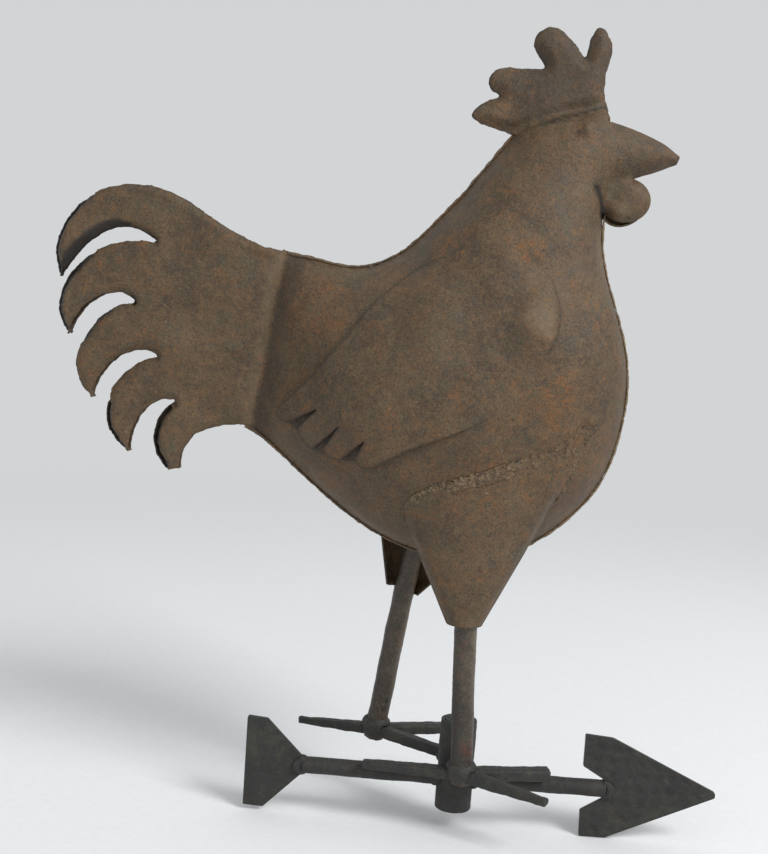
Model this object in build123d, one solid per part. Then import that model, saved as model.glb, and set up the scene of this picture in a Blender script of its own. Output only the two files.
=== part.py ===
"""Sheet-metal rooster weather vane: a hammered rooster standing on an arrow that turns on a mast spindle.

Frame: millimetres, +Z up, +X the way the arrow points, -Y the rooster's right side.
The origin is the centre of the spindle's bottom face, on the turning axis.
"""

from build123d import *
import os

# ---------------------------------------------------------------- driving dimensions
SHEET = 1.2                 # thickness of the rooster's sheet metal
RIM = 2.0                   # width of the welded rim where the two body sheets meet
PLATE = 3.0                 # thickness of the arrowhead and the fletching

TUBE_OD = 21.3              # half-inch steel pipe
TUBE_ID = 16.1
TUBE_LENGTH = 53.5
TUBE_LIFT = 1.0             # gap under the sleeve, so that it turns clear of the mast
PLUG = 5.0                  # thickness of the plug in the sleeve's top

SPINDLE_D = 16.0            # 0.05 mm radial clearance in the sleeve
BALL_D = 9.525              # three-eighths inch bearing ball
BALL_PLAY = 0.02            # play above and below the ball
CUP_D = 10.0                # spherical seats that centre the ball
CUP_DEPTH = 2.0
THREAD_CORE_D = 8.5         # core of the M10 thread in the spindle
THREAD_DEPTH = 20.0

ROD_D = 10.0                # arrow shafts
ROD_Z = 19.2                # height of the arrow's axis
ARROW_ROOT_X = 89.0         # where the front shaft meets the arrowhead
FLETCHING_ROOT_X = -91.0    # where the rear shaft meets the fletching

LEG_D = 12.7                # half-inch round bar
TOE_Z = 27.6                # the toes lie on top of the arrow shafts

BODY_LEAN = 0.12            # how far the rim of the pillow leans in, as a share of the chord
TAIL_SPREAD = 1.5           # degrees by which each tail sheet stands away from the other
WING_GAP = 5.0              # how far the wing's feather tips stand off the body

TOP_Z = TUBE_LIFT + TUBE_LENGTH
BALL_Z = TOP_Z - PLUG - BALL_D / 2 + CUP_DEPTH - BALL_PLAY
SPINDLE_TOP = BALL_Z - BALL_D / 2 - BALL_PLAY + CUP_DEPTH

# Chords of the body's pillow, from the tail crease to the front of the head:
# point on the back, point on the belly or chest, half thickness between them.
BODY_SECTIONS = [
    ((-121, 321.5), (-137, 219), 3),
    ((-104, 318), (-116, 206), 18),
    ((-84, 314.5), (-93, 187), 33),
    ((-64, 318), (-68, 169), 44),
    ((-46, 330), (-38, 155), 51),
    ((-32, 345), (0, 151), 54),
    ((-21, 357.5), (35, 163), 54),
    ((-14, 367), (61, 186), 52),
    ((-8, 375), (76, 214), 47),
    ((-2, 383), (81.5, 245), 41),
    ((4, 391), (79, 277), 35),
    ((9, 397), (67, 312), 29),
    ((18, 402.5), (60.5, 343), 25),
    ((34, 408), (63, 366), 21),
    ((56, 413.5), (67, 388), 8),
]

WATTLE_CENTRE, WATTLE_RADII = (72, -2, 362), (14.2, 7, 12.5)
EYE_CENTRE, EYE_R = (46, -15.5, 396.5), 5.0
RIM_BEAD_D = 2.4            # bead along the back and belly, where the sheets meet
WELD = 1.7                  # height of the beads on the thighs
ANKLE_WELD_R, ANKLE_WELD_LIFT = 9.2, 2.6   # the lump sits above the undersides of the toes

# Thighs: half cones of sheet, x and lean (degrees forwards) of each
THIGH_Y, THIGH_LOW_Z, THIGH_HEIGHT = 36, 120.5, 115
THIGH_LOW_R = 10.2          # radius round the leg
THIGH_SLOPE = 0.5           # gain in half width per millimetre of height
THIGH_FLARE = 0.15          # how fast the open side moves in towards the mid plane
THIGH_WELD_Z = 172          # the bead runs above this height
THIGH_TURN = -2.5           # degrees by which the thigh's flat side turns out towards the breast
RIGHT_THIGH_X, RIGHT_THIGH_LEAN = -2.7, 0
LEFT_THIGH_X, LEFT_THIGH_LEAN = -39.5, 17

# Legs: centre lines from the ankle up into the body
RIGHT_LEG = [(3, -17.2, 22.5), (0.6, -26, 71), (-1.6, -35, 117), (-2.6, -38, 150), (-2.6, -37, 190)]
LEFT_LEG = [(-51.2, 46.5, 24), (-44.8, 42, 70), (-38, 38, 120), (-33, 36.5, 150), (-27, 35, 190)]
RIGHT_ANKLE = (2.5, -17.3, TOE_Z)
LEFT_ANKLE = (-50, 46, TOE_Z + 1.5)
TOE_WELD, TOE_WELD_R = (-5, 11.5, TOE_Z), 6.8   # the left inner toe is welded to the sleeve

# Toes: name, tip, then (width, thickness) at the ankle and at the tip
RIGHT_TOES = [
    ("rear", (-55, -9, TOE_Z - 1.5), (9.5, 7), (7, 4.5)),
    ("inner", (54, -8, TOE_Z + 0.6), (9.5, 7.5), (9, 7.5)),
    ("outer", (50, -43, TOE_Z - 3.2), (9.5, 8), (5.5, 4)),
]
LEFT_TOES = [
    ("rear", (-99, 52, TOE_Z + 1.6), (9, 7), (5, 4)),
    ("outer", (10, 61, TOE_Z + 2.4), (9.5, 7), (8, 6)),
    ("inner", (-4, 12.5, TOE_Z + 0.6), (9.5, 7), (8, 6)),
]


# ---------------------------------------------------------------- small helpers
def flat(points):
    """Points given as (x, z) on the vane's mid plane."""
    return [Vector(x, 0, z) for x, z in points]


def outline(*runs):
    """Face on the mid plane; a run of two points is a straight edge, a longer run a smooth curve."""
    edges = [Line(*flat(run)) if len(run) == 2 else Spline(*flat(run)) for run in runs]
    return Face(Wire(edges))


def plate(face, near, far):
    """Sheet cut to a face, standing from near to far on the right side of the mid plane."""
    return extrude(face.moved(Pos(0, -near, 0)), far - near, dir=(0, -1, 0))


def left(shape):
    return mirror(shape, about=Plane.XZ)


def bar(start, end, diameter):
    start, end = Vector(*start), Vector(*end)
    plane = Plane(origin=start, z_dir=end - start)
    return extrude(plane * Circle(diameter / 2), (end - start).length)


def trimmed(shape, *neighbours):
    """The shape coped to fit against its neighbours; slivers cut off it are dropped."""
    for other in neighbours:
        shape = shape - other
    return max(shape.solids(), key=lambda solid: solid.volume)


# ---------------------------------------------------------------- spindle and sleeve
def mast_spindle():
    body = Cylinder(SPINDLE_D / 2, SPINDLE_TOP, align=(Align.CENTER, Align.CENTER, Align.MIN))
    body = chamfer(body.edges().group_by(Axis.Z)[-1], 0.8)
    hole = Cylinder(THREAD_CORE_D / 2, THREAD_DEPTH, align=(Align.CENTER, Align.CENTER, Align.MIN))
    cup_z = SPINDLE_TOP - CUP_DEPTH + CUP_D / 2
    return body - hole - Pos(0, 0, cup_z) * Sphere(CUP_D / 2)


def bearing_ball():
    return Pos(0, 0, BALL_Z) * Sphere(BALL_D / 2)


def sleeve_tube():
    ring = Circle(TUBE_OD / 2) - Circle(TUBE_ID / 2)
    return extrude(Pos(0, 0, TUBE_LIFT) * ring, TUBE_LENGTH)


def sleeve_top_plug():
    plug = extrude(Pos(0, 0, TOP_Z - PLUG) * Circle(TUBE_ID / 2), PLUG)
    cup_z = TOP_Z - PLUG + CUP_DEPTH - CUP_D / 2
    return plug - Pos(0, 0, cup_z) * Sphere(CUP_D / 2)


def sleeve_outside():
    """The sleeve as one filled bar, for coping the pieces welded to it."""
    return extrude(Pos(0, 0, TUBE_LIFT) * Circle(TUBE_OD / 2), TUBE_LENGTH)


# ---------------------------------------------------------------- arrow
def arrow_shaft(end_x):
    return trimmed(bar((0, 0, ROD_Z), (end_x, 0, ROD_Z), ROD_D), sleeve_outside())


def arrowhead():
    half = ROD_D / 2
    shape = outline(
        [(75, ROD_Z + 32), (91.5, ROD_Z + 30.8)],
        [(91.5, ROD_Z + 30.8), (153, ROD_Z + 2.8)],
        [(153, ROD_Z + 2.8), (153, ROD_Z - 0.2)],
        [(153, ROD_Z - 0.2), (91, ROD_Z - 29)],
        [(91, ROD_Z - 29), (75.5, ROD_Z - 29.2)],
        [(75.5, ROD_Z - 29.2), (75, ROD_Z - 14)],
        [(75, ROD_Z - 14), (ARROW_ROOT_X, ROD_Z - half)],
        [(ARROW_ROOT_X, ROD_Z - half), (ARROW_ROOT_X, ROD_Z + half)],
        [(ARROW_ROOT_X, ROD_Z + half), (75, ROD_Z + 13)],
        [(75, ROD_Z + 13), (75, ROD_Z + 32)],
    )
    return plate(shape, -PLATE / 2, PLATE / 2)


def arrow_fletching():
    half = ROD_D / 2
    shape = outline(
        [(FLETCHING_ROOT_X, ROD_Z + half), (-113, ROD_Z + 26.5)],
        [(-113, ROD_Z + 26.5), (-125, ROD_Z + 27.5)],
        [(-125, ROD_Z + 27.5), (-125, ROD_Z - 26.5)],
        [(-125, ROD_Z - 26.5), (-113, ROD_Z - 27)],
        [(-113, ROD_Z - 27), (FLETCHING_ROOT_X, ROD_Z - half)],
        [(FLETCHING_ROOT_X, ROD_Z - half), (FLETCHING_ROOT_X, ROD_Z + half)],
    )
    return plate(shape, -PLATE / 2, PLATE / 2)


def plate_weld(x, plate_piece, shaft):
    """Bead that holds a flat plate to the end of a shaft."""
    blob = Pos(x, 0, ROD_Z) * Rot(X=90) * Cylinder(ROD_D * 0.56, ROD_D * 0.8)
    return trimmed(blob, shaft, plate_piece)


def shaft_weld(direction, shaft):
    """Collar of weld where an arrow shaft meets the sleeve."""
    reach = TUBE_OD / 2 + 4
    plane = Plane(origin=(0, 0, ROD_Z), z_dir=(direction, 0, 0))
    collar = loft([plane * Circle(ROD_D / 2 + 4), plane.offset(reach) * Circle(ROD_D / 2 + 0.6)])
    return trimmed(collar, sleeve_outside(), shaft)


# ---------------------------------------------------------------- body
def lens(a, b, depth, lean=0.0):
    """Face between the chord from a to b and a curve that bulges from it by the depth vector."""
    chord = b - a
    pull = depth * 4 / 3
    bulge = Bezier(a, a + chord * lean + pull, b - chord * lean + pull, b)
    return Face(Wire([bulge, Line(b, a)]))


def section(back, front, half_thickness):
    """Half-lens face between two rim points, bulging to the rooster's right."""
    a, b = flat([back, front])
    return lens(a, b, Vector(0, -half_thickness, 0), BODY_LEAN)


def pillow(grow=0.0):
    """Right half of the body as a filled solid; grow moves its skin outwards."""
    return loft([section(a, b, depth + grow) for a, b, depth in BODY_SECTIONS])


def pillow_hollow():
    """The space inside the right half, one sheet thickness in from the skin."""
    faces = []
    last = len(BODY_SECTIONS) - 1
    for i, (a, b, depth) in enumerate(BODY_SECTIONS):
        if i in (0, last):
            (ax, az), (bx, bz) = a, b
            (cx, cz), (dx, dz), other = BODY_SECTIONS[1 if i == 0 else last - 1]
            share = 0.12
            a = (ax + (cx - ax) * share, az + (cz - az) * share)
            b = (bx + (dx - bx) * share, bz + (dz - bz) * share)
            depth = depth + (other - depth) * share
        start, end = flat([a, b])
        inward = (end - start).normalized() * RIM
        start, end = start + inward, end - inward
        faces.append(section((start.X, start.Z), (end.X, end.Z), max(depth - SHEET, 1.0)))
    return loft(faces)


def tail_outline():
    """Five hooked feathers behind the crease."""
    crease_top, crease_low = (-118, 321), (-132, 220)
    tips = [(-249, 298), (-242, 265), (-227, 229), (-204, 199), (-180, 190)]
    notches = [(-194, 321.5), (-204, 286), (-189, 256), (-178, 231)]
    return outline(
        [crease_low, crease_top],
        [crease_top, (-146, 329), (-166, 340), (-187, 351), (-206, 354), (-237, 343.5), (-253, 315), tips[0]],
        [tips[0], (-236, 316), (-219, 327.5), notches[0]],
        [notches[0], (-226, 316), (-246, 297), (-250, 281), tips[1]],
        [tips[1], (-232, 283), (-217, 291), notches[1]],
        [notches[1], (-228, 273), (-237, 250), tips[2]],
        [tips[2], (-217, 250), (-203, 258), notches[2]],
        [notches[2], (-212, 241), (-219, 222), tips[3]],
        [tips[3], (-200, 217), (-190, 229), notches[3]],
        [notches[3], (-187, 222), (-190, 205), tips[4]],
        [tips[4], (-173, 191.5)],
        [(-173, 191.5), (-166, 211), (-147, 218.5), crease_low],
    )


def comb_outline():
    """Four lobes that fan back from the brow."""
    brow, nape = (58.8, 410.5), (7, 394)
    notches = [(43.5, 439), (21.5, 433), (-0.5, 416)]
    return outline(
        [nape, brow],
        [brow, (56.5, 417), (56.8, 436), (57.8, 448), (49.5, 457), (44.8, 447), notches[0]],
        [notches[0], (35, 449), (22, 455.5), (13.5, 447), (16.5, 440), notches[1]],
        [notches[1], (3, 432), (-8.5, 428), (-9.5, 420.5), (-6, 417.5), notches[2]],
        [notches[2], (-11, 412), (-18.5, 404), (-10, 399), nape],
    )


def beak_half():
    """Right half of the beak: a hollow half cone that runs out of the head."""
    chords = [((58, 406), (63, 369), 13), ((79, 400), (79.5, 376), 9), ((103, 388.5), (101.5, 381.5), 3)]
    skin = loft([section(a, b, depth) for a, b, depth in chords])
    hollow = [((ax, az - RIM), (bx, bz + RIM), depth - SHEET) for (ax, az), (bx, bz), depth in chords[:2]]
    return skin - loft([section(a, b, depth) for a, b, depth in hollow])


def dome(centre, radii):
    """Half ellipsoid of sheet that bulges to the rooster's right."""
    outer = scale(Sphere(1), by=radii)
    inner = scale(Sphere(1), by=tuple(r - SHEET for r in radii))
    size = 3 * max(radii)
    inboard = Pos(0, size / 2, 0) * Box(size, size, size)
    return Pos(*centre) * (outer - inner - inboard)


def body_sheet():
    """One side of the rooster out of one sheet: half pillow, tail feathers, comb, beak, wattle and eye."""
    tail = plate(tail_outline(), 0.1, 0.1 + SHEET)
    crease = Axis((-121, 0, 0), (0, 0, 1))
    sheet = pillow() - pillow_hollow()
    sheet += tail.rotate(crease, TAIL_SPREAD)
    sheet += plate(comb_outline(), 0, SHEET)
    sheet += beak_half() - pillow_hollow()
    sheet += dome(WATTLE_CENTRE, WATTLE_RADII) - pillow()
    sheet += Pos(*EYE_CENTRE) * Sphere(EYE_R) - pillow_hollow()
    return sheet


def round_sweep(path, diameter):
    """Round bar or bead that follows a path."""
    start = Plane(path.position_at(0), z_dir=path.tangent_at(0))
    return sweep(start * Circle(diameter / 2), path)


def rim_weld(*sheets):
    """Beads along the back and the belly, where the rims of the two body sheets meet."""
    rims = [edge for edge in pillow().edges() if abs(edge.center().Y) < 0.01 and edge.length > 150]
    return Compound(children=[trimmed(round_sweep(rim, RIM_BEAD_D), *sheets) for rim in rims])


# ---------------------------------------------------------------- wings
def wing_outline():
    """Shoulder in front, four feather tips parted by three wedges behind."""
    top, low = (-115, 233), (-58, 205.5)
    wedges = [(-91.5, 234.8), (-78, 227), (-63.5, 220.5)]
    return outline(
        [
            top, (-99, 250.5), (-79, 275.5), (-52, 308.5), (-14, 327), (22, 323),
            (36, 298), (27, 265), (3, 238.5), (-29, 221.7), low,
        ],
        [low, (-65.5, 205), (-68.5, 209.5)],
        [(-68.5, 209.5), wedges[2]],
        [wedges[2], (-78, 207)],
        [(-78, 207), (-84.5, 208), (-88, 212)],
        [(-88, 212), wedges[1]],
        [wedges[1], (-95, 210.5)],
        [(-95, 210.5), (-100.5, 215), (-103, 222)],
        [(-103, 222), wedges[0]],
        [wedges[0], (-109, 225)],
        [(-109, 225), (-115.5, 227.5), top],
    )


def wing():
    """Sheet that follows the body, a little proud of it at the feathers."""
    return trimmed(wing_layer(SHEET) - wing_layer(0), pillow())


def wing_layer(thickness):
    faces = []
    for a, b, depth in BODY_SECTIONS:
        gap = WING_GAP * min(1, max(0, -(a[0] + b[0]) / 2 / 60))
        faces.append(section(a, b, depth + gap + thickness))
    return loft(faces) & plate(wing_outline(), 10, 90)


# ---------------------------------------------------------------- thighs and legs
def thigh_section(height, grow):
    """D-shaped slice of the half cone, its flat side towards the mid plane."""
    half_width = Vector(THIGH_LOW_R + THIGH_SLOPE * height + grow, 0, 0)
    inboard = THIGH_FLARE * height
    middle = Vector(0, inboard, height)
    depth = Vector(0, -THIGH_LOW_R - inboard - grow, 0)
    return lens(middle - half_width, middle + half_width, depth)


def thigh_solid(x, lean, grow=0.0):
    """Half cone filled to its flat side, narrow round the leg and opening upwards."""
    past = 1.0 if grow < 0 else 0.0
    cone = loft([thigh_section(-past, grow), thigh_section(THIGH_HEIGHT + past, grow)])
    return Pos(x, -THIGH_Y, THIGH_LOW_Z) * Rot(Z=THIGH_TURN) * Rot(Y=lean) * cone


def thigh(x, lean):
    shell = thigh_solid(x, lean) - thigh_solid(x, lean, -SHEET)
    return trimmed(shell, pillow())


def thigh_weld(x, lean, wing_piece):
    """Bead in the corner between the top of the thigh and the body, below the wing."""
    corner = thigh_solid(x, lean, WELD) & pillow(WELD) & Pos(0, 0, THIGH_WELD_Z + 100) * Box(300, 200, 200)
    return trimmed(corner, thigh_solid(x, lean), pillow(), wing_piece)


def leg(path):
    return round_sweep(Spline(*path), LEG_D)


def toe(ankle, tip, start_size, tip_size):
    """Flattened bar from the ankle to the tip; sizes are (width, thickness)."""
    ankle, tip = Vector(*ankle), Vector(*tip)
    direction = tip - ankle
    across = Vector(0, 0, 1).cross(direction)
    faces = []
    for point, (width, thickness) in ((ankle, start_size), (tip, tip_size)):
        plane = Plane(origin=point, x_dir=across, z_dir=direction)
        faces.append(plane * RectangleRounded(width, thickness, thickness * 0.3))
    return loft(faces)


def joint_weld(centre, radius, *neighbours):
    """Rounded lump of weld that fills the space between the pieces it joins."""
    lump = Cylinder(radius, radius * 1.5)
    lump = fillet(lump.edges().filter_by(GeomType.CIRCLE), radius * 0.4)
    return trimmed(Pos(*centre) * lump, *neighbours)


# ---------------------------------------------------------------- assembly
def rooster():
    right_sheet, right_wing = body_sheet(), wing()
    left_sheet = left(right_sheet)
    return {
        "right_body_sheet": right_sheet,
        "left_body_sheet": left_sheet,
        "rim_weld": rim_weld(right_sheet, left_sheet),
        "right_wing": right_wing,
        "left_wing": left(right_wing),
        "right_thigh": thigh(RIGHT_THIGH_X, RIGHT_THIGH_LEAN),
        "left_thigh": left(thigh(LEFT_THIGH_X, LEFT_THIGH_LEAN)),
        "right_thigh_weld": thigh_weld(RIGHT_THIGH_X, RIGHT_THIGH_LEAN, right_wing),
        "left_thigh_weld": left(thigh_weld(LEFT_THIGH_X, LEFT_THIGH_LEAN, right_wing)),
    }


def legs_and_feet(sleeve, shafts):
    """Legs, toes and the welds that hold them, each coped to the pieces made before it."""
    right_leg = trimmed(leg(RIGHT_LEG), sleeve, pillow())
    left_leg = trimmed(leg(LEFT_LEG), left(pillow()))
    nodes = {"right_leg": right_leg, "left_leg": left_leg}
    for side, ankle, tips, leg_bar in (
        ("right", RIGHT_ANKLE, RIGHT_TOES, right_leg),
        ("left", LEFT_ANKLE, LEFT_TOES, left_leg),
    ):
        made = [leg_bar]
        for name, tip, start_size, tip_size in tips:
            bar_toe = trimmed(toe(ankle, tip, start_size, tip_size), sleeve, *shafts, *made)
            nodes[f"{side}_{name}_toe"] = bar_toe
            made.append(bar_toe)
        above = (ankle[0], ankle[1], ankle[2] + ANKLE_WELD_LIFT)
        nodes[f"{side}_ankle_weld"] = joint_weld(above, ANKLE_WELD_R, sleeve, *shafts, *made)
    nodes["left_toe_weld"] = joint_weld(TOE_WELD, TOE_WELD_R, sleeve, *nodes.values())
    return nodes


def arrow_and_sleeve():
    front, rear = arrow_shaft(ARROW_ROOT_X), arrow_shaft(FLETCHING_ROOT_X)
    head, fletching = arrowhead(), arrow_fletching()
    return {
        "mast_spindle": mast_spindle(),
        "bearing_ball": bearing_ball(),
        "sleeve_tube": sleeve_tube(),
        "sleeve_top_plug": sleeve_top_plug(),
        "arrow_shaft_front": front,
        "arrow_shaft_rear": rear,
        "arrowhead": head,
        "arrow_fletching": fletching,
        "shaft_weld_front": shaft_weld(1, front),
        "shaft_weld_rear": shaft_weld(-1, rear),
        "arrowhead_weld": plate_weld(ARROW_ROOT_X, head, front),
        "fletching_weld": plate_weld(FLETCHING_ROOT_X, fletching, rear),
    }


nodes = arrow_and_sleeve()
shaft_pieces = ("arrow_shaft_front", "arrow_shaft_rear", "shaft_weld_front", "shaft_weld_rear")
nodes |= legs_and_feet(sleeve_outside(), [nodes[name] for name in shaft_pieces])
nodes |= rooster()

os.makedirs("parts", exist_ok=True)
for name, shape in nodes.items():
    export_step(shape, f"parts/{name}.step")
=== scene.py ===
import bpy
import math
import numpy as np
from mathutils import Matrix, Vector, noise
from mathutils.bvhtree import BVHTree
from mathutils.geometry import delaunay_2d_cdt
from mathutils.kdtree import KDTree


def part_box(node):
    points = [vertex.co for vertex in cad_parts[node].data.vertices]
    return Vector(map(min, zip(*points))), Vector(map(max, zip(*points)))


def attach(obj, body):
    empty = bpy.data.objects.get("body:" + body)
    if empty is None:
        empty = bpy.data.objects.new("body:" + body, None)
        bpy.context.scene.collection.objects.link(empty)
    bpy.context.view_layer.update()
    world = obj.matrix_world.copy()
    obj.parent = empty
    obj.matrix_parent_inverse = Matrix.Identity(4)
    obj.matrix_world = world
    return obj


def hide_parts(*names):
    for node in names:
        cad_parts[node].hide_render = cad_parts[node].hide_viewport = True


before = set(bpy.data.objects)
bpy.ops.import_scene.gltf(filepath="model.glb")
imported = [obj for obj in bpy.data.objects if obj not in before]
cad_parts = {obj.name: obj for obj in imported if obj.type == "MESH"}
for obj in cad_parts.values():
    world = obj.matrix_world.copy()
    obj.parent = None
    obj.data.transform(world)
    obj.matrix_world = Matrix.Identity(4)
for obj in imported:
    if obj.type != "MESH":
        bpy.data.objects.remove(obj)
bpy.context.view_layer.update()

# The meshes are worked out in millimetres and stored in metres.
MM = 0.001
RIGHT, LEFT = -1, 1         # the rooster's right side is towards -Y
SHEET = 1.2                 # sheet thickness
PLATE = 3.0                 # thickness of the arrow's plates
FAR = 300.0                 # a start for rays outside the object


# ------------------------------------------------------------------ reading the frame
def node_mesh(node):
    """Vertices in millimetres and triangles of a CAD node."""
    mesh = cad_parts[node].data
    points = [vertex.co / MM for vertex in mesh.vertices]
    faces = [tuple(polygon.vertices) for polygon in mesh.polygons]
    return points, faces


def node_tree(node):
    return BVHTree.FromPolygons(*node_mesh(node))


def node_box(node):
    low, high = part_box(node)
    return low / MM, high / MM


def height(tree, x, z, side=RIGHT):
    """How far the surface stands out from the mid plane at (x, z), or None where there is none."""
    hit = tree.ray_cast(Vector((x, side * FAR, z)), Vector((0, -side, 0)))[0]
    return None if hit is None else hit.y * side


# ------------------------------------------------------------------ flat outlines to fine meshes
def crossing(inside, outside, reach):
    """Point of the outline between a point on the sheet and one off it."""
    a, b = Vector(inside), Vector(outside)
    for _ in range(8):
        middle = (a + b) / 2
        if reach(*middle) is None:
            b = middle
        else:
            a = middle
    return a


def outline_loops(reach, low, high, cell):
    """Closed loops round the region where reach(x, z) finds a height, by marching squares."""
    xs = np.arange(low[0] - cell * 1.3, high[0] + cell * 2, cell)
    zs = np.arange(low[1] - cell * 1.3, high[1] + cell * 2, cell)
    on = [[reach(x, z) is not None for z in zs] for x in xs]
    cuts = {}

    def cut(first, second):
        key = (min(first, second), max(first, second))
        if key not in cuts:
            if not on[first[0]][first[1]]:
                first, second = second, first
            cuts[key] = crossing((xs[first[0]], zs[first[1]]), (xs[second[0]], zs[second[1]]), reach)
        return key

    links = {}
    for i in range(len(xs) - 1):
        for j in range(len(zs) - 1):
            corners = [(i, j), (i + 1, j), (i + 1, j + 1), (i, j + 1)]
            state = [on[a][b] for a, b in corners]
            if all(state) or not any(state):
                continue
            sides = [(corners[n], corners[(n + 1) % 4]) for n in range(4) if state[n] != state[(n + 1) % 4]]
            keys = [cut(*ends) for ends in sides]
            pairs = [(0, 1)] if len(keys) == 2 else [(0, 1), (2, 3)] if not state[0] else [(3, 0), (1, 2)]
            for a, b in pairs:
                links.setdefault(keys[a], []).append(keys[b])
                links.setdefault(keys[b], []).append(keys[a])
    loops, seen = [], set()
    for start in sorted(links):
        loop, here = [], start
        while here is not None and here not in seen:
            seen.add(here)
            loop.append(cuts[here])
            here = next((key for key in links[here] if key not in seen), None)
        if len(loop) > 8:
            loops.append(loop)
    return loops


def evenly(loop, step):
    """The loop walked in even steps."""
    points = np.array([(p.x, p.y) for p in loop + loop[:1]])
    lengths = np.hypot(*np.diff(points, axis=0).T)
    along = np.concatenate([[0], np.cumsum(lengths)])
    count = max(12, int(round(along[-1] / step)))
    at = np.linspace(0, along[-1], count, endpoint=False)
    return np.column_stack([np.interp(at, along, points[:, 0]), np.interp(at, along, points[:, 1])])


def outward_normals(loop):
    """Unit normals of a closed loop of (x, z) points, pointing away from what it encloses."""
    along = np.roll(loop, -1, axis=0) - np.roll(loop, 1, axis=0)
    normals = np.column_stack([along[:, 1], -along[:, 0]])
    normals /= np.maximum(np.linalg.norm(normals, axis=1), 1e-9)[:, None]
    after = np.roll(loop, -1, axis=0)
    area = np.sum(loop[:, 0] * after[:, 1] - after[:, 0] * loop[:, 1])
    return normals if area > 0 else -normals


class FlatMesh:
    """Fine triangle mesh of the region of the (x, z) plane where reach finds a height.

    flat holds the (x, z) points, heights how far the surface stands out there, from_edge the distance
    to the outline and edge_normal the outline's direction at its nearest point.
    """

    def __init__(self, reach, low, high, step):
        loops = [evenly(loop, step * 0.7) for loop in outline_loops(reach, low, high, step * 0.6)]
        border = np.concatenate(loops)
        normals = np.concatenate([outward_normals(loop) for loop in loops])
        edges, first = [], 0
        for loop in loops:
            edges += [(first + k, first + (k + 1) % len(loop)) for k in range(len(loop))]
            first += len(loop)
        near = KDTree(len(border))
        for k, (x, z) in enumerate(border):
            near.insert((x, z, 0), k)
        near.balance()
        inner = []
        for row, z in enumerate(np.arange(low[1], high[1], step * math.sqrt(0.75))):
            for x in np.arange(low[0] + (row % 2) * step / 2, high[0], step):
                if near.find((x, z, 0))[2] > step * 0.55 and reach(x, z) is not None:
                    inner.append((x, z))
        points = [Vector(p) for p in border] + [Vector(p) for p in inner]
        verts, _, faces, *_ = delaunay_2d_cdt(points, edges, [], 1, 1e-6)
        self.flat = np.array([(v.x, v.y) for v in verts])
        self.faces = [tuple(face) for face in faces]
        nearest = [near.find((x, z, 0)) for x, z in self.flat]
        self.from_edge = np.array([found[2] for found in nearest])
        self.edge_normal = normals[[found[1] for found in nearest]]
        self.heights = np.array([self.inward_height(reach, k) for k in range(len(self.flat))])

    def inward_height(self, reach, k):
        """Height at a point; on the outline itself it is read a hair's breadth inside it."""
        for inset in (0, 0.02, 0.1, 0.3, 0.8):
            found = reach(*(self.flat[k] - self.edge_normal[k] * inset))
            if found is not None:
                return found
        return 0.0

    def smoothed(self, values, rounds):
        """Values evened out between neighbouring points, the outline kept."""
        pairs = np.array([(face[k], face[(k + 1) % 3]) for face in self.faces for k in range(3)])
        count = np.bincount(pairs[:, 0], minlength=len(values))
        count += np.bincount(pairs[:, 1], minlength=len(values))
        kept = self.from_edge < 1e-4
        for _ in range(rounds):
            total = np.bincount(pairs[:, 0], values[pairs[:, 1]], len(values))
            total += np.bincount(pairs[:, 1], values[pairs[:, 0]], len(values))
            values = np.where(kept, values, total / count)
        return values


def node_sheet(node, step):
    """The silhouette of a CAD node as a flat mesh that knows how far its outer face stands out."""
    tree = node_tree(node)
    low, high = node_box(node)
    return FlatMesh(lambda x, z: height(tree, x, z), (low.x, low.z), (high.x, high.z), step)


def rise(value, start, end):
    """0 before start, 1 after end, smooth between them; start may be the larger."""
    share = np.clip((value - start) / (end - start), 0, 1)
    return share * share * (3 - 2 * share)


def bump(flat, centre, widths):
    """Smooth round hill of height 1 at a point of the (x, z) plane."""
    across = (flat - np.array(centre)) / np.array(widths)
    return np.exp(-np.sum(across * across, axis=1))


def within(flat, corners, soft=1.2):
    """1 inside a polygon whose (x, z) corners run clockwise, 0 outside it."""
    ends = corners[1:] + corners[:1]
    depth = np.min([-beside(flat, a, b) for a, b in zip(corners, ends)], axis=0)
    return rise(depth, -soft / 2, soft / 2)


def beside(flat, start, end):
    """Signed distance of points from the line start-end, positive on its left."""
    start, end = np.array(start, float), np.array(end, float)
    along = (end - start) / np.linalg.norm(end - start)
    away = flat - start
    return along[0] * away[:, 1] - along[1] * away[:, 0]


# ------------------------------------------------------------------ surface relief
def dents(point, size, seed):
    """Smooth noise from -1 to 1 whose dents are about size millimetres wide."""
    return noise.noise(point / size + Vector((seed * 7.3, seed * 3.1, seed * 5.7)))


def hammered(points, faces, seed, relief):
    """Moves points along their normals by the sum of the relief's layers of (size, depth)."""
    normals = vertex_normals(points, faces)
    out = []
    for point, normal in zip(points, normals):
        push = sum(depth * dents(point, size, seed + n) for n, (size, depth) in enumerate(relief))
        out.append(point + normal * push)
    return out


def vertex_normals(points, faces):
    array = np.array(points)
    normals = np.zeros_like(array)
    for count in {len(face) for face in faces}:
        rows = np.array([face for face in faces if len(face) == count])
        corners = array[rows]
        flat = np.cross(corners[:, 1] - corners[:, 0], corners[:, 2] - corners[:, 0])
        for k in range(count):
            np.add.at(normals, rows[:, k], flat)
    lengths = np.linalg.norm(normals, axis=1)
    normals /= np.maximum(lengths, 1e-9)[:, None]
    return [Vector(n) for n in normals]


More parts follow.
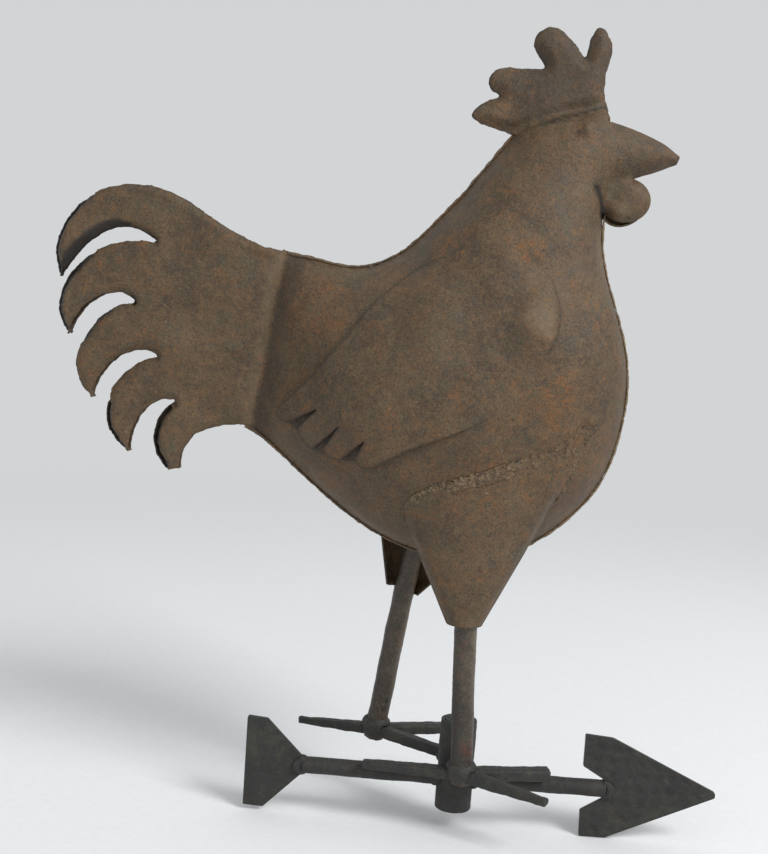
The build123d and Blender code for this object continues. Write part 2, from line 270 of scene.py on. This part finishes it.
# ------------------------------------------------------------------ making pieces
def make_piece(name, points, faces, material, nodes, body="vane"):
    mesh = bpy.data.meshes.new(name)
    mesh.from_pydata([tuple(Vector(p) * MM) for p in points], [], faces)
    mesh.validate()
    mesh.polygons.foreach_set("use_smooth", [True] * len(mesh.polygons))
    mesh.materials.append(material)
    piece = bpy.data.objects.new(name, mesh)
    bpy.context.scene.collection.objects.link(piece)
    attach(piece, body)
    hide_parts(*nodes)
    return piece


def set_tone(piece, tone):
    """Stores each point's tone for the paint: 1 is darkest, -1 palest; mostly painted shade and painted
    highlights.
    """
    attribute = piece.data.attributes.new("tone", "FLOAT", "POINT")
    attribute.data.foreach_set("value", np.array(tone, np.float32))


def apply_modifiers(piece):
    dg = bpy.context.evaluated_depsgraph_get()
    mesh = bpy.data.meshes.new_from_object(piece.evaluated_get(dg))
    piece.modifiers.clear()
    piece.data = mesh
    mesh.set_sharp_from_angle(angle=math.radians(50))
    return piece


def thicken(piece, thickness=SHEET):
    """Gives a one-sided sheet its thickness, inwards."""
    solid = piece.modifiers.new("thickness", "SOLIDIFY")
    solid.thickness = thickness * MM
    solid.offset = -1.0
    solid.use_even_offset = False
    return apply_modifiers(piece)


def beaten(point, seed, relief):
    """How far hammering pushes a point of the sheets outwards."""
    flatter = Vector((point.x, point.y * 0.3, point.z))
    keys = [flatter / size + Vector((0, seed * 7.3, n * 5.1)) for n, (size, _) in enumerate(relief)]
    return sum(depth * noise.noise(key) for key, (_, depth) in zip(keys, relief))


def slab(points, faces, tone, thickness):
    """A right-hand sheet made a plate with a flat back and square edges."""
    count, back = len(points), points[0].y + thickness
    edges = [(face[k], face[(k + 1) % 3]) for face in faces for k in range(3)]
    border = set(edges) - {(b, a) for a, b in edges}
    walls = [(b, a, a + count, b + count) for a, b in border]
    behind = [tuple(corner + count for corner in face[::-1]) for face in faces]
    points = points + [Vector((point.x, back, point.z)) for point in points]
    return points, faces + behind + walls, np.tile(tone, 2)


def sheet_piece(name, node, sheet, side, seed, material, relief, shape,
                thickness=SHEET, flat_back=False):
    """A sheet cut to a CAD node's outline that follows the node's outer face, hammered and thickened.

    shape(sheet, side) returns the (x, z) points, how far each stands out, its tone (1 darkest, -1 palest,
    mostly painted shade and highlights) and its share of the hammering.
    """
    flat, outward, tone, share = shape(sheet, side)
    points = [Vector((x, side * y, z)) for (x, z), y in zip(flat, outward)]
    faces = sheet.faces if side == RIGHT else [face[::-1] for face in sheet.faces]
    normals = vertex_normals(points, faces)
    widest = max(abs(corner.y) for corner in node_box(node))
    for k, (point, normal) in enumerate(zip(points, normals)):
        moved = point + normal * beaten(point, seed, relief) * share[k]
        points[k] = Vector((moved.x, min(max(moved.y, 0.2 - widest), widest - 0.2), moved.z))
    if flat_back:
        points, faces, tone = slab(points, faces, tone, thickness)
    piece = make_piece(name, points, faces, material, [node])
    set_tone(piece, tone)
    if flat_back:
        piece.data.set_sharp_from_angle(angle=math.radians(50))
        return piece
    return thicken(piece, thickness)


def clear_of(node, upright=False):
    """Keeps points a hair's breadth off a round CAD node: a ball, or an upright bar."""
    low, high = node_box(node)
    centre, reach = (low + high) / 2, (high.x - low.x) / 2 + 0.1

    def settled(point):
        away = point - centre
        if upright:
            away.z = 0
        return point + away * max(0, reach / away.length - 1)

    return settled


def remeshed(name, node, material, voxel, relief, seed, melt=0, tone=None, moved=None, settled=None):
    """The CAD node again as an even fine mesh with rounded-off edges and an uneven surface.

    melt is how many rounds of smoothing run the shape together, moved(point) where each point goes
    before the hammering, settled(point) where it goes after it, and tone(point) as for a sheet.
    """
    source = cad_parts[node].data.copy()
    piece = bpy.data.objects.new(name, source)
    bpy.context.scene.collection.objects.link(piece)
    grid = piece.modifiers.new("even", "REMESH")
    grid.mode = "VOXEL"
    grid.voxel_size = voxel * MM
    if melt:
        flow = piece.modifiers.new("melt", "SMOOTH")
        flow.iterations = melt
    apply_modifiers(piece)
    mesh = piece.data
    points = [vertex.co / MM for vertex in mesh.vertices]
    if moved:
        points = [moved(point) for point in points]
    faces = [tuple(polygon.vertices) for polygon in mesh.polygons]
    points = hammered(points, faces, seed, relief)
    if settled:
        points = [settled(point) for point in points]
    bpy.data.objects.remove(piece)
    piece = make_piece(name, points, faces, material, [node])
    if tone:
        set_tone(piece, [tone(point) for point in points])
    return piece


# ------------------------------------------------------------------ paint
def srgb(red, green, blue):
    """Linear colour from 0-255 screen values."""
    def linear(value):
        value /= 255
        return value / 12.92 if value <= 0.04045 else ((value + 0.055) / 1.055) ** 2.4
    return (linear(red), linear(green), linear(blue), 1.0)


# The last colour on the next line is the tone's pale: painted highlights in most places, worn and paler
# metal in others.
OLIVE, PALE, WEAR_AND_HIGHLIGHT = srgb(67, 67, 52), srgb(166, 148, 124), srgb(136, 117, 90)
# The last colour on the next line is the tone's dark: painted shade in most places, plain darkening of the
# metal in others.
BLACKENED, SHADE_AND_DARKENING = srgb(34, 27, 22), srgb(20, 16, 14)


class Paint:
    """One procedural material, built node by node."""

    def __init__(self, name):
        self.material = bpy.data.materials.new(name)
        self.material.use_nodes = True
        self.nodes = self.material.node_tree.nodes
        self.links = self.material.node_tree.links
        self.nodes.clear()
        self.place = self.nodes.new("ShaderNodeTexCoord").outputs["Object"]

    def plug(self, value, socket):
        if isinstance(value, bpy.types.NodeSocket):
            self.links.new(value, socket)
        else:
            socket.default_value = value

    def noise(self, size, detail=4.0, roughness=0.6, distortion=0.0, shift=0.0):
        """Noise from 0 to 1 whose features are about size millimetres wide."""
        move = self.nodes.new("ShaderNodeVectorMath")
        move.operation = "ADD"
        self.plug(self.place, move.inputs[0])
        move.inputs[1].default_value = (shift, shift * 0.7, shift * 1.3)
        node = self.nodes.new("ShaderNodeTexNoise")
        self.plug(move.outputs[0], node.inputs["Vector"])
        node.inputs["Scale"].default_value = 1 / (size * MM)
        node.inputs["Detail"].default_value = detail
        node.inputs["Roughness"].default_value = roughness
        node.inputs["Distortion"].default_value = distortion
        return node.outputs[0]

    def between(self, value, start, end, low=0.0, high=1.0):
        """value mapped smoothly from start..end to low..high."""
        node = self.nodes.new("ShaderNodeMapRange")
        node.interpolation_type = "SMOOTHSTEP"
        self.plug(value, node.inputs["Value"])
        node.inputs["From Min"].default_value = start
        node.inputs["From Max"].default_value = end
        node.inputs["To Min"].default_value = low
        node.inputs["To Max"].default_value = high
        return node.outputs["Result"]

    def math(self, operation, a, b=0.0):
        node = self.nodes.new("ShaderNodeMath")
        node.operation = operation
        self.plug(a, node.inputs[0])
        self.plug(b, node.inputs[1])
        return node.outputs[0]

    def mix(self, share, a, b):
        node = self.nodes.new("ShaderNodeMix")
        node.data_type = "RGBA"
        self.plug(share, node.inputs[0])
        self.plug(a, node.inputs[6])
        self.plug(b, node.inputs[7])
        return node.outputs[2]

    def near(self, centre, radius, ragged=0.5):
        """1 near a point and 0 beyond the radius, with a ragged border; millimetres."""
        node = self.nodes.new("ShaderNodeVectorMath")
        node.operation = "DISTANCE"
        self.plug(self.place, node.inputs[0])
        node.inputs[1].default_value = tuple(Vector(centre) * MM)
        wander = self.math("SUBTRACT", self.noise(radius * 0.4), 0.5)
        wander = self.math("MULTIPLY", wander, radius * 2 * ragged * MM)
        distance = self.math("ADD", node.outputs["Value"], wander)
        return self.between(distance, radius * MM, radius * 0.35 * MM)

    def attribute(self, name):
        node = self.nodes.new("ShaderNodeAttribute")
        node.attribute_name = name
        return node.outputs["Fac"]

    def finish(self, colour, roughness, metallic, bumps):
        """bumps: (height from 0 to 1, depth in millimetres)."""
        shader = self.nodes.new("ShaderNodeBsdfPrincipled")
        self.plug(colour, shader.inputs["Base Color"])
        self.plug(roughness, shader.inputs["Roughness"])
        self.plug(metallic, shader.inputs["Metallic"])
        normal = None
        for height_map, depth in bumps:
            node = self.nodes.new("ShaderNodeBump")
            self.plug(height_map, node.inputs["Height"])
            node.inputs["Strength"].default_value = 1.0
            node.inputs["Distance"].default_value = depth * MM
            if normal is not None:
                self.links.new(normal, node.inputs["Normal"])
            normal = node.outputs["Normal"]
        self.links.new(normal, shader.inputs["Normal"])
        self.shader = shader
        out = self.nodes.new("ShaderNodeOutputMaterial")
        self.links.new(shader.outputs[0], out.inputs["Surface"])
        return self.material

    def fade(self, opacity):
        """Lets the finished material fade out where opacity goes to 0."""
        self.links.new(opacity, self.shader.inputs["Alpha"])


def rusty_paint(name, dark, mid, light, orange, patches=(), spatter=False, gloss=0.0):
    """Old rust: brown with paler, darker and reddish clouds, orange bloom and fine speckle."""
    paint = Paint(name)
    clouds = paint.noise(26, 8, 0.72, 0.6)
    mottle = paint.noise(4.2, 6, 0.75, 0.3, 3.1)
    grain = paint.noise(1.1, 4, 0.7, 0.0, 5.3)
    colour = paint.mix(paint.between(clouds, 0.36, 0.64), dark, mid)
    colour = paint.mix(paint.between(mottle, 0.42, 0.74, 0.0, 0.7), colour, light)
    olive = paint.between(paint.noise(17, 9, 0.8, 0.6, 6.1), 0.48, 0.66, 0.0, 0.55)
    colour = paint.mix(olive, colour, OLIVE)
    bloom = paint.between(paint.noise(13, 9, 0.82, 0.8, 7.7), 0.46, 0.66, 0.0, 0.9)
    for centre, radius, strength in patches:
        patch = paint.math("MULTIPLY", paint.near(centre, radius, 0.9), strength)
        bloom = paint.math("MAXIMUM", bloom, patch)
    broken = paint.between(paint.noise(4.5, 8, 0.85, 0.6, 9.9), 0.44, 0.62)
    colour = paint.mix(paint.math("MULTIPLY", bloom, broken), colour, orange)
    stain = paint.between(paint.noise(6, 7, 0.8, 0.5, 12.1), 0.52, 0.66, 0.0, 0.5)
    colour = paint.mix(stain, colour, OLIVE)
    colour = paint.mix(paint.between(grain, 0.5, 0.66, 0.0, 0.62), colour, BLACKENED)
    colour = paint.mix(paint.between(grain, 0.48, 0.32, 0.0, 0.5), colour, light)
    if spatter:
        clusters = paint.between(paint.noise(22, 3, 0.5, 0, 2.2), 0.58, 0.68)
        flecks = paint.between(paint.noise(1.7, 3, 0.6, 0.8, 4.4), 0.66, 0.72)
        flecks = paint.math("MULTIPLY", flecks, clusters)
        colour = paint.mix(paint.math("MULTIPLY", flecks, 0.6), colour, PALE)
    # Where the tone is below 0 the colour turns paler and where above 0 darker: painted highlights and
    # painted shade in most places.
    tone = paint.attribute("tone")
    patchy = paint.between(mottle, 0.3, 0.6, 0.45, 1.0)
    colour = paint.mix(paint.math("MULTIPLY", paint.between(tone, 0, -1), patchy), colour, WEAR_AND_HIGHLIGHT)
    colour = paint.mix(paint.between(tone, 0, 1, 0, 0.9), colour, SHADE_AND_DARKENING)
    roughness = paint.between(mottle, 0.3, 0.7, 0.48 - gloss, 0.74 - gloss)
    bumps = [(paint.noise(9, 5, 0.6, 0.2, 1.7), 1.0), (mottle, 0.7), (grain, 0.22)]
    return paint.finish(colour, roughness, 0.1, bumps)


# ------------------------------------------------------------------ the rooster
RUST = [srgb(65, 50, 33), srgb(88, 69, 46), srgb(111, 90, 63), srgb(124, 77, 31)]
CREASE = (-132, 220), (-118, 321)          # where the tail feathers leave the body
BROW = (7, 394), (56.5, 412)               # foot of the comb
EYE = (45, 397.5)
WEDGES = [                                 # the gaps between the wing's feathers
    ((-91, 235.3), (-102.5, 219.5), (-110.5, 225)),
    ((-77.5, 227.5), (-87, 208.5), (-97, 210)),
    ((-63, 221), (-67, 207), (-79.5, 206)),
]
WATTLE_CLEFT = (53.5, 366.5), (62, 349)    # between the wattle and the neck
BLOOM = [                                  # orange patches: place, radius and strength
    ((34, -45, 246), 26, 0.8), ((2, -50, 200), 30, 0.6), ((-98, -25, 292), 30, 0.6),
    ((17, -38, 328), 14, 1.0), ((52, -25, 215), 40, 0.6), ((44, -12, 385), 24, 0.5),
    ((-75, -35, 215), 26, 0.5),
]
STEEL = [srgb(29, 31, 30), srgb(37, 39, 37), srgb(52, 54, 50), srgb(62, 47, 38)]
LEG_STEEL = [srgb(46, 42, 35), srgb(68, 60, 49), srgb(104, 93, 77), srgb(112, 62, 44)]
WELD = [srgb(60, 47, 33), srgb(88, 69, 48), srgb(134, 108, 76), srgb(128, 80, 40)]
body_paint = rusty_paint("rusty_sheet", *RUST, patches=BLOOM, spatter=True)
steel_paint = rusty_paint("dark_steel", *STEEL)
leg_paint = rusty_paint("leg_steel", *LEG_STEEL, patches=[((7, -24, 45), 9, 1.0)], gloss=0.2)
weld_paint = rusty_paint("weld_metal", *WELD)


def hand_cut(sheet, where):
    """The flat points with the outline made slightly uneven where asked."""
    flat = sheet.flat.copy()
    for k in np.flatnonzero((sheet.from_edge < 1e-4) & where):
        x, z = flat[k]
        wander = noise.noise(Vector((x, 3, z)) * 0.19) + 0.6 * noise.noise(Vector((x, 9, z)) * 0.6)
        flat[k] -= sheet.edge_normal[k] * (0.3 + 0.6 * wander)
    return flat


def body_shape(sheet, side):
    """Creased tail with rolled feather edges and puffed comb; the tone paints shade where edges turn away
    from the light and in creases and gaps, and paints highlights on the crease, wattle and eye.
    """
    behind = beside(sheet.flat, *CREASE)
    comb = beside(sheet.flat, *BROW)
    comb = np.where(sheet.flat[:, 0] > -30, comb, -1)
    by_wattle = (sheet.flat[:, 0] > 50) & (sheet.flat[:, 1] > 346) & (sheet.flat[:, 1] < 368)
    cleft = np.where(by_wattle, np.abs(beside(sheet.flat, *WATTLE_CLEFT)), 99)
    flat = hand_cut(sheet, (behind > 8) | (comb > 3))
    edge, normal = sheet.from_edge, sheet.edge_normal
    x, z = flat.T
    if side == RIGHT:
        feather = rise(x, -222, -240) * rise(z, 258, 268)
        feather += rise(behind, 12, 20) * rise(z, 236, 225)
        narrower = 2.3 * feather * rise(normal[:, 0], -0.35, -0.8) * rise(edge, 9, 0)
        flat -= normal * narrower[:, None]
    flat[:, 0] -= 2.4 * rise(x, 90, 103)
    flat[:, 1] += 2.2 * rise(x, 84, 102) * rise(z, 389, 383)
    outward = sheet.smoothed(sheet.heights, 2)
    outward += 1.8 * rise(behind, 0, 12) * rise(edge, 0, 4)
    tail = behind > 14
    inner_curl = tail & (normal[:, 1] < -0.2) & (z > 298) & (x < -196)
    curl_width = np.where(inner_curl, 6.5 * rise(x, -196, -222), 0.0)
    outer_curl = tail & (normal[:, 0] < -0.5) & ((z > 262) | (z < 228)) & ~inner_curl
    curl_width = np.where(outer_curl, 2.8, curl_width)
    curl = np.where(curl_width > 0, np.clip(1 - edge / np.maximum(curl_width, 0.1), 0, 1), 0)
    outward -= 2.2 * curl
    outward += (comb > 0) * 3.2 * rise(comb, 1.5, 9) * rise(edge, 0, 7)
    outward += 2.0 * bump(flat, EYE, (3.6, 3.2))
    darkening = np.maximum.reduce([
        # painted shade on the rolled feather edges, which turn away from the light
        rise(curl, 0.02, 0.4),
        # painted shade in a thin line round the tail's edges
        0.3 * rise(edge, 1.0, 0.2) * tail,
        # painted shade at the foot of the comb, above the brow ridge
        0.75 * rise(comb, 4, 0.5) * rise(x, 8, 30) * (comb > 0),
        # painted shade on the comb's edges that face away from the light
        0.8 * rise(edge, 2.2, 0.5) * rise(normal[:, 0], 0.1, -0.8) * (comb > 0),
        # the comb darker all over
        0.42 * rise(comb, 0, 6) * rise(x, -15, 20),
        # the beak darker
        0.22 * rise(x, 60, 70) * rise(z, 368, 372),
        # painted shadow in the gaps between the wing's feathers
        0.6 * np.max([within(flat, list(wedge)) for wedge in WEDGES], axis=0),
        # the beak's tip darker
        0.3 * bump(flat, (97, 385), (4, 3)),
        # painted shadow below and left of the eye's bump
        0.45 * bump(flat, (EYE[0] - 3.5, EYE[1] - 3.5), (3, 2.5)),
        # painted shade in the cleft between the wattle and the neck
        0.95 * rise(cleft, 3.4, 0.8),
        # painted shade on the body just in front of the tail's crease, where it turns away from the light
        0.5 * rise(behind, -22, -3) * rise(behind, 0.5, -1.5),
    ])
    outward -= 3.2 * rise(cleft, 5, 0.5)
    # Painted highlights on the tail's side of the crease, on the wattle and at the top of the eye; a paler
    # strip down the front of the neck.
    lightening = 0.38 * rise(behind, 12, 2) * rise(behind, -1, 1) + 0.3 * bump(flat, (62, 330), (9, 30))
    lightening += 0.4 * bump(flat, (71, 356), (7, 6)) + 0.3 * bump(flat, (EYE[0] + 1.5, EYE[1] + 2), (3, 2.5))
    if side == LEFT:
        wattle = bump(flat, (72, 358), (13, 12)) * (x > 58)
        flat += wattle[:, None] * np.array((-4.5, -4.0))
    return flat, outward, darkening - lightening * (darkening < 0.2), rise(edge, 0, 8)


def wing_shape(sheet, side):
    """Shoulder bulge in front, where the edge is sunk into the body, and feathers that stand off behind."""
    flat, edge = sheet.flat, sheet.from_edge
    outward = sheet.smoothed(sheet.heights, 1)
    facet = within(flat, [(13, 292), (26, 312), (36, 313), (34.5, 274)], 8)
    outward += 3.6 * bump(flat, (22, 293), (11, 16)) + 1.4 * facet
    front = rise(flat[:, 0] + 0.6 * flat[:, 1], 120, 160)
    outward -= 1.35 * front * rise(edge, 14, 0)
    # Painted shade: a thin dark line along the rear edges, which stand off the body, and along the front
    # edge beside the shoulder.
    darkening = 0.6 * rise(flat[:, 0], 5, -40) * rise(edge, 2.0, 0.2)
    darkening += 0.55 * front * rise(edge, 2.5, 0.5) * rise(flat[:, 0], 25, 34)
    # Painted highlight on the shoulder's facet, where it catches the light.
    lightening = 0.36 * facet * rise(flat[:, 1], 310, 288) * rise(edge, 0, 3)
    return flat, outward, darkening - lightening, np.ones(len(flat))


def thigh_sheet(label, side, step):
    """The thigh's silhouette up to its weld, with its outer face run smoothly onto the body."""
    thigh, weld, body = (node_tree(f"{label}_{name}") for name in ("thigh", "thigh_weld", "body_sheet"))
    blend = 5.0

    def reach(x, z):
        cone, on_body = height(thigh, x, z, side), height(body, x, z, side)
        if cone is None and (on_body is None or height(weld, x, z, side) is None):
            return None
        if cone is None or on_body is None:
            return on_body + SHEET if cone is None else cone
        gap = abs(cone - on_body - SHEET)
        return max(cone, on_body + SHEET) + max(0, blend - gap) ** 2 / (4 * blend)

    boxes = [node_box(f"{label}_{name}") for name in ("thigh", "thigh_weld")]
    low = [min(box[0][axis] for box in boxes) for axis in (0, 2)]
    high = [max(box[1][axis] for box in boxes) for axis in (0, 2)]
    return FlatMesh(reach, low, high, step)


def thigh_shape(sheet, side):
    """The edge that lies on the body is beaten down to it; the open edges below stay free."""
    on_body = rise(sheet.flat[:, 1], 160, 180)
    outward = sheet.smoothed(sheet.heights, 2) - on_body * rise(sheet.from_edge, 5, 0)
    # Darker along the open edges; the left thigh darker all over below the body, painted shade, as its
    # inside is seen in shadow.
    tone = (1 - on_body) * (0.4 * rise(sheet.from_edge, 1.2, 0.2) + 0.25 * (side == LEFT))
    return sheet.flat, outward, tone, 1 - (1 - on_body) * rise(sheet.from_edge, 8, 0)


SHEET_RELIEF = [(42, 2.4), (20, 1.2), (8, 0.4)]
body_flat = node_sheet("right_body_sheet", 2.0)
wing_flat = node_sheet("right_wing", 1.6)
def crumbs(point):
    """Tone of the thigh beads: bright crumbs behind, less and less of them towards the breast."""
    bright = rise(point.x, 60, -20) * rise(point.z, 178, 187)
    return -0.5 * float(bright * (0.3 + 0.7 * rise(dents(point, 1.5, 2), -0.2, 0.35)))


for side, label, seed in ((RIGHT, "right", 1), (LEFT, "left", 4)):
    sheets = (
        (f"{label}_body", f"{label}_body_sheet", body_flat, body_shape),
        (f"{label}_wing_sheet", f"{label}_wing", wing_flat, wing_shape),
        (f"{label}_thigh_cone", f"{label}_thigh", thigh_sheet(label, side, 1.5), thigh_shape),
    )
    for name, node, sheet, shape in sheets:
        sheet_piece(name, node, sheet, side, seed, body_paint, SHEET_RELIEF, shape)
    remeshed(
        f"{label}_thigh_bead", f"{label}_thigh_weld", weld_paint, 0.45,
        [(4.0, 1.1), (1.3, 0.8)], seed,
        moved=lambda point: point + Vector((0, side * (0.2 + beaten(point, seed, SHEET_RELIEF)), 0)),
        tone=crumbs,
    )
# The bead is paler than the sheets, more so towards the front: partly its paler weld colour, partly painted
# light that lifts the shade of the crevice beside it.
remeshed("rim_bead", "rim_weld", body_paint, 0.4, [(4.5, 0.5), (1.6, 0.25)], 3,
         tone=lambda point: -0.2 - 0.4 * float(rise(point.x, 10, 50)))

# ------------------------------------------------------------------ legs, toes and arrow
def leg_tone(x_low, x_high, dark):
    """Darker towards the foot, with a painted highlight along the front and painted shade along the back;
    x_low and x_high are the leg's ends.
    """
    def tone(point):
        along = (point.z - 24) / 126
        forward = (point.x - x_low - (x_high - x_low) * along) / 6.4
        return float(dark * rise(point.z, 110, 30) - 0.45 * forward * rise(point.z, 35, 70))
    return tone


legs = (("right_leg", 3, -2.6, 0.5), ("left_leg", -51.2, -33, 0.25))
for n, (node, x_low, x_high, dark) in enumerate(legs):
    remeshed(node + "_bar", node, leg_paint, 0.8, [(14, 0.35), (3, 0.12)], 10 + n,
             tone=leg_tone(x_low, x_high, dark))
toes = sorted(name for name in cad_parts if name.endswith("_toe"))
for n, node in enumerate(toes):
    remeshed(node + "_bar", node, steel_paint, 0.6, [(9, 0.5), (2.5, 0.2)], 20 + n)
for n, node in enumerate(("arrow_shaft_front", "arrow_shaft_rear")):
    remeshed(node + "_bar", node, steel_paint, 0.7, [(16, 0.4), (3, 0.12)], 30 + n)
remeshed("sleeve_pipe", "sleeve_tube", steel_paint, 0.6, [(12, 0.3), (3, 0.15)], 40,
         settled=clear_of("mast_spindle", upright=True))
remeshed("sleeve_plug", "sleeve_top_plug", steel_paint, 0.5, [(6, 0.5), (2, 0.2)], 41,
         settled=clear_of("bearing_ball"))


def rounded(node):
    """Draws the ends of a lump in towards its middle, so that it flares from the bar it holds."""
    low, high = node_box(node)
    middle, half = (low + high) / 2, (high - low) / 2

    def moved(point):
        away = point - middle
        ends = abs(away.z) / half.z
        return middle + Vector((away.x * (1 - 0.3 * ends ** 2), away.y * (1 - 0.3 * ends ** 2), away.z))

    return moved


welds = ("shaft_weld_front", "shaft_weld_rear", "arrowhead_weld", "fletching_weld", "right_ankle_weld",
         "left_ankle_weld", "left_toe_weld")
for n, node in enumerate(welds):
    remeshed(node + "_lump", node, steel_paint, 0.5, [(5, 0.6), (1.8, 0.3)], 50 + n, melt=40,
             moved=rounded(node))


def dimpled(sheet, side):
    """Arrowhead with rows of shallow hammer marks."""
    marks = np.zeros(len(sheet.flat))
    for row in range(-3, 4):
        for column in range(8):
            centre = (82 + 8.6 * column + 2 * (row % 2), 19.2 + 8.2 * row)
            marks += bump(sheet.flat, centre, (2.7, 2.7))
    darkening = np.maximum(0.3 * rise(sheet.from_edge, 0.8, 0.1), 0.1 + 0.2 * marks)
    outward = sheet.heights - 0.8 * marks * rise(sheet.from_edge, 0, 3)
    return sheet.flat, outward, darkening, rise(sheet.from_edge, 0, 8)


def plain(sheet, side):
    darkening = 0.3 * rise(sheet.from_edge, 0.8, 0.1)
    return sheet.flat, sheet.heights, darkening, rise(sheet.from_edge, 0, 8)


for n, (node, shape) in enumerate((("arrowhead", dimpled), ("arrow_fletching", plain))):
    sheet_piece(node + "_plate", node, node_sheet(node, 1.2), RIGHT, 60 + n, steel_paint,
                [(16, 0.9), (6, 0.3)], shape, PLATE, flat_back=True)

for node, colour in (("mast_spindle", srgb(120, 118, 114)), ("bearing_ball", srgb(190, 190, 188))):
    paint = Paint(node + "_steel")
    wear = paint.noise(6, 6, 0.6)
    shade = paint.mix(paint.between(wear, 0.4, 0.7), colour, srgb(92, 84, 74))
    paint.finish(shade, paint.between(wear, 0.3, 0.7, 0.25, 0.5), 0.9, [(paint.noise(0.8, 4), 0.03)])
    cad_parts[node].data.materials.clear()
    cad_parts[node].data.materials.append(paint.material)

# ------------------------------------------------------------------ floor, light and camera
floor_mesh = bpy.data.meshes.new("floor")
reach, floor_z = 4.0, -0.0105
corners = [(-reach, -reach), (reach, -reach), (reach, reach), (-reach, reach)]
floor_mesh.from_pydata([(x, y, floor_z) for x, y in corners], [], [(0, 1, 2, 3)])
floor = bpy.data.objects.new("floor", floor_mesh)
bpy.context.scene.collection.objects.link(floor)
floor_paint = Paint("floor")
grain = floor_paint.noise(4, 3)
floor_colour = floor_paint.mix(grain, srgb(222, 223, 224), srgb(232, 233, 234))
floor_mesh.materials.append(floor_paint.finish(floor_colour, 0.9, 0.0, [(grain, 0.1)]))
faded = floor_paint.near((0, 0, 0), 1700, 0)
floor_paint.fade(faded)


def area_light(name, place, target, size, power):
    light = bpy.data.lights.new(name, "AREA")
    light.size = size
    light.energy = power
    lamp = bpy.data.objects.new(name, light)
    lamp.location = place
    lamp.rotation_mode = "QUATERNION"
    lamp.rotation_quaternion = (Vector(target) - Vector(place)).to_track_quat("-Z", "Y")
    bpy.context.scene.collection.objects.link(lamp)
    return lamp


area_light("key", (1.3, -1.1, 1.6), (-0.03, 0, 0.25), 0.8, 39)
area_light("fill", (-1.4, -1.6, 0.7), (-0.03, 0, 0.25), 1.6, 3)

world = bpy.data.worlds.new("studio")
world.use_nodes = True
sky = world.node_tree.nodes["Background"]
sky.inputs["Color"].default_value = srgb(232, 234, 236)
sky.inputs["Strength"].default_value = 0.8
bpy.context.scene.world = world
bpy.context.scene.view_settings.view_transform = "Standard"

PITCH, YAW, ROLL = math.radians(5), math.radians(-2), math.radians(3.85)
forward = Vector((math.sin(YAW) * math.cos(PITCH), math.cos(YAW) * math.cos(PITCH), -math.sin(PITCH)))
level = Vector((math.cos(YAW), -math.sin(YAW), 0))
upward = level.cross(forward)
right_hand = level * math.cos(ROLL) + upward * math.sin(ROLL)
up = upward * math.cos(ROLL) - level * math.sin(ROLL)
camera_data = bpy.data.cameras.new("camera")
camera_data.sensor_width = 36
camera_data.lens = 52.7
camera = bpy.data.objects.new("camera", camera_data)
turned = Matrix((right_hand, up, -forward)).transposed().to_4x4()
camera.matrix_world = Matrix.Translation((-0.0306, -0.7222, 0.2871)) @ turned
bpy.context.scene.collection.objects.link(camera)
bpy.context.scene.camera = camera
